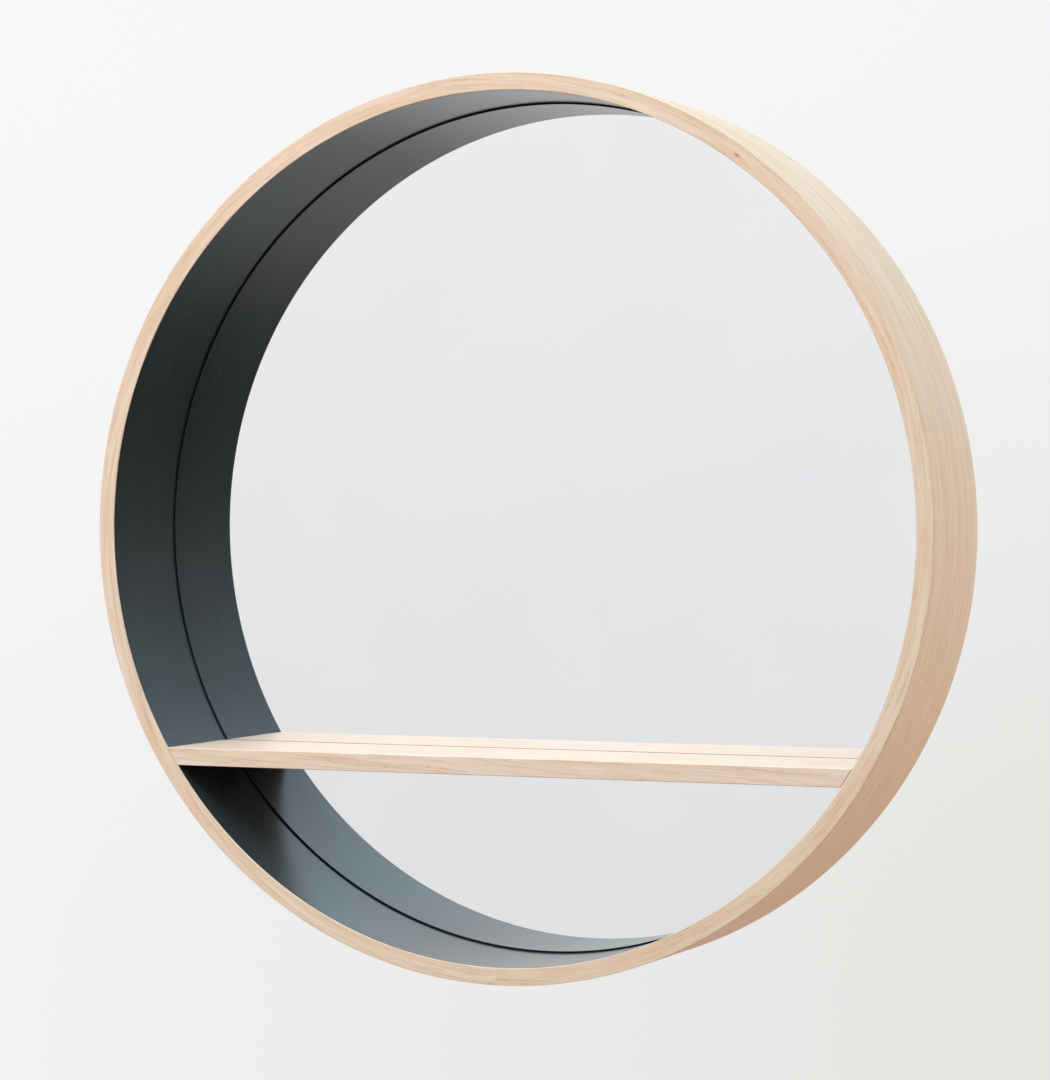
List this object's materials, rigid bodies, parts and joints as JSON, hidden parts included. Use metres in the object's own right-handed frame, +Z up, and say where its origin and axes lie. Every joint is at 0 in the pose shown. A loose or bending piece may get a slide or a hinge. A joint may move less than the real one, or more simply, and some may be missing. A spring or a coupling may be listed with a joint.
{
  "type": "round wall mirror with shelf",
  "caption": "Round wall mirror set back in a deep bent-wood hoop, with a straight oak shelf across its lower part and keyhole hangers behind.",
  "frame": {"origin": "on the axis of the hoop, in the plane of the wall that it hangs on", "axes": "+Z up, -Y out of the wall and out of the mirror, +X to the right of a person who looks into the mirror"},
  "size_m": [0.6, 0.096, 0.6],
  "materials": {
    "oak": "pale oiled oak, matt",
    "laminate": "raw edge of birch plies",
    "paint": "matt slate blue-grey paint on wood",
    "silvered_glass": "clear float glass silvered behind",
    "fibreboard": "medium density fibreboard, raw",
    "foam_tape": "white double-sided foam tape",
    "beech": "fluted beech dowel",
    "zinc_plate": "bright zinc-plated steel",
    "zinc_yellow": "yellow-passivated steel screw"
  },
  "bodies": {
    "root": {"hoop_front_edge_band": "oak", "hoop_outer_veneer": "oak", "hoop_core": "laminate", "hoop_inner_lining": "paint", "shelf_board": "oak", "mirror_glass": "silvered_glass", "back_panel": "fibreboard", "mirror_tape_1": "foam_tape", "mirror_tape_2": "foam_tape", "mirror_tape_3": "foam_tape", "mirror_tape_4": "foam_tape", "mirror_tape_5": "foam_tape", "panel_screw_1": "zinc_yellow", "panel_screw_2": "zinc_yellow", "panel_screw_3": "zinc_yellow", "panel_screw_4": "zinc_yellow", "panel_screw_5": "zinc_yellow", "panel_screw_6": "zinc_yellow", "panel_screw_7": "zinc_yellow", "panel_screw_8": "zinc_yellow", "shelf_dowel_left_front": "beech", "shelf_dowel_left_rear": "beech", "hanger_plate_left": "zinc_plate", "hanger_screw_left_top": "zinc_yellow", "hanger_screw_left_bottom": "zinc_yellow", "shelf_dowel_right_front": "beech", "shelf_dowel_right_rear": "beech", "hanger_plate_right": "zinc_plate", "hanger_screw_right_top": "zinc_yellow", "hanger_screw_right_bottom": "zinc_yellow"}
  },
  "joints": []
}
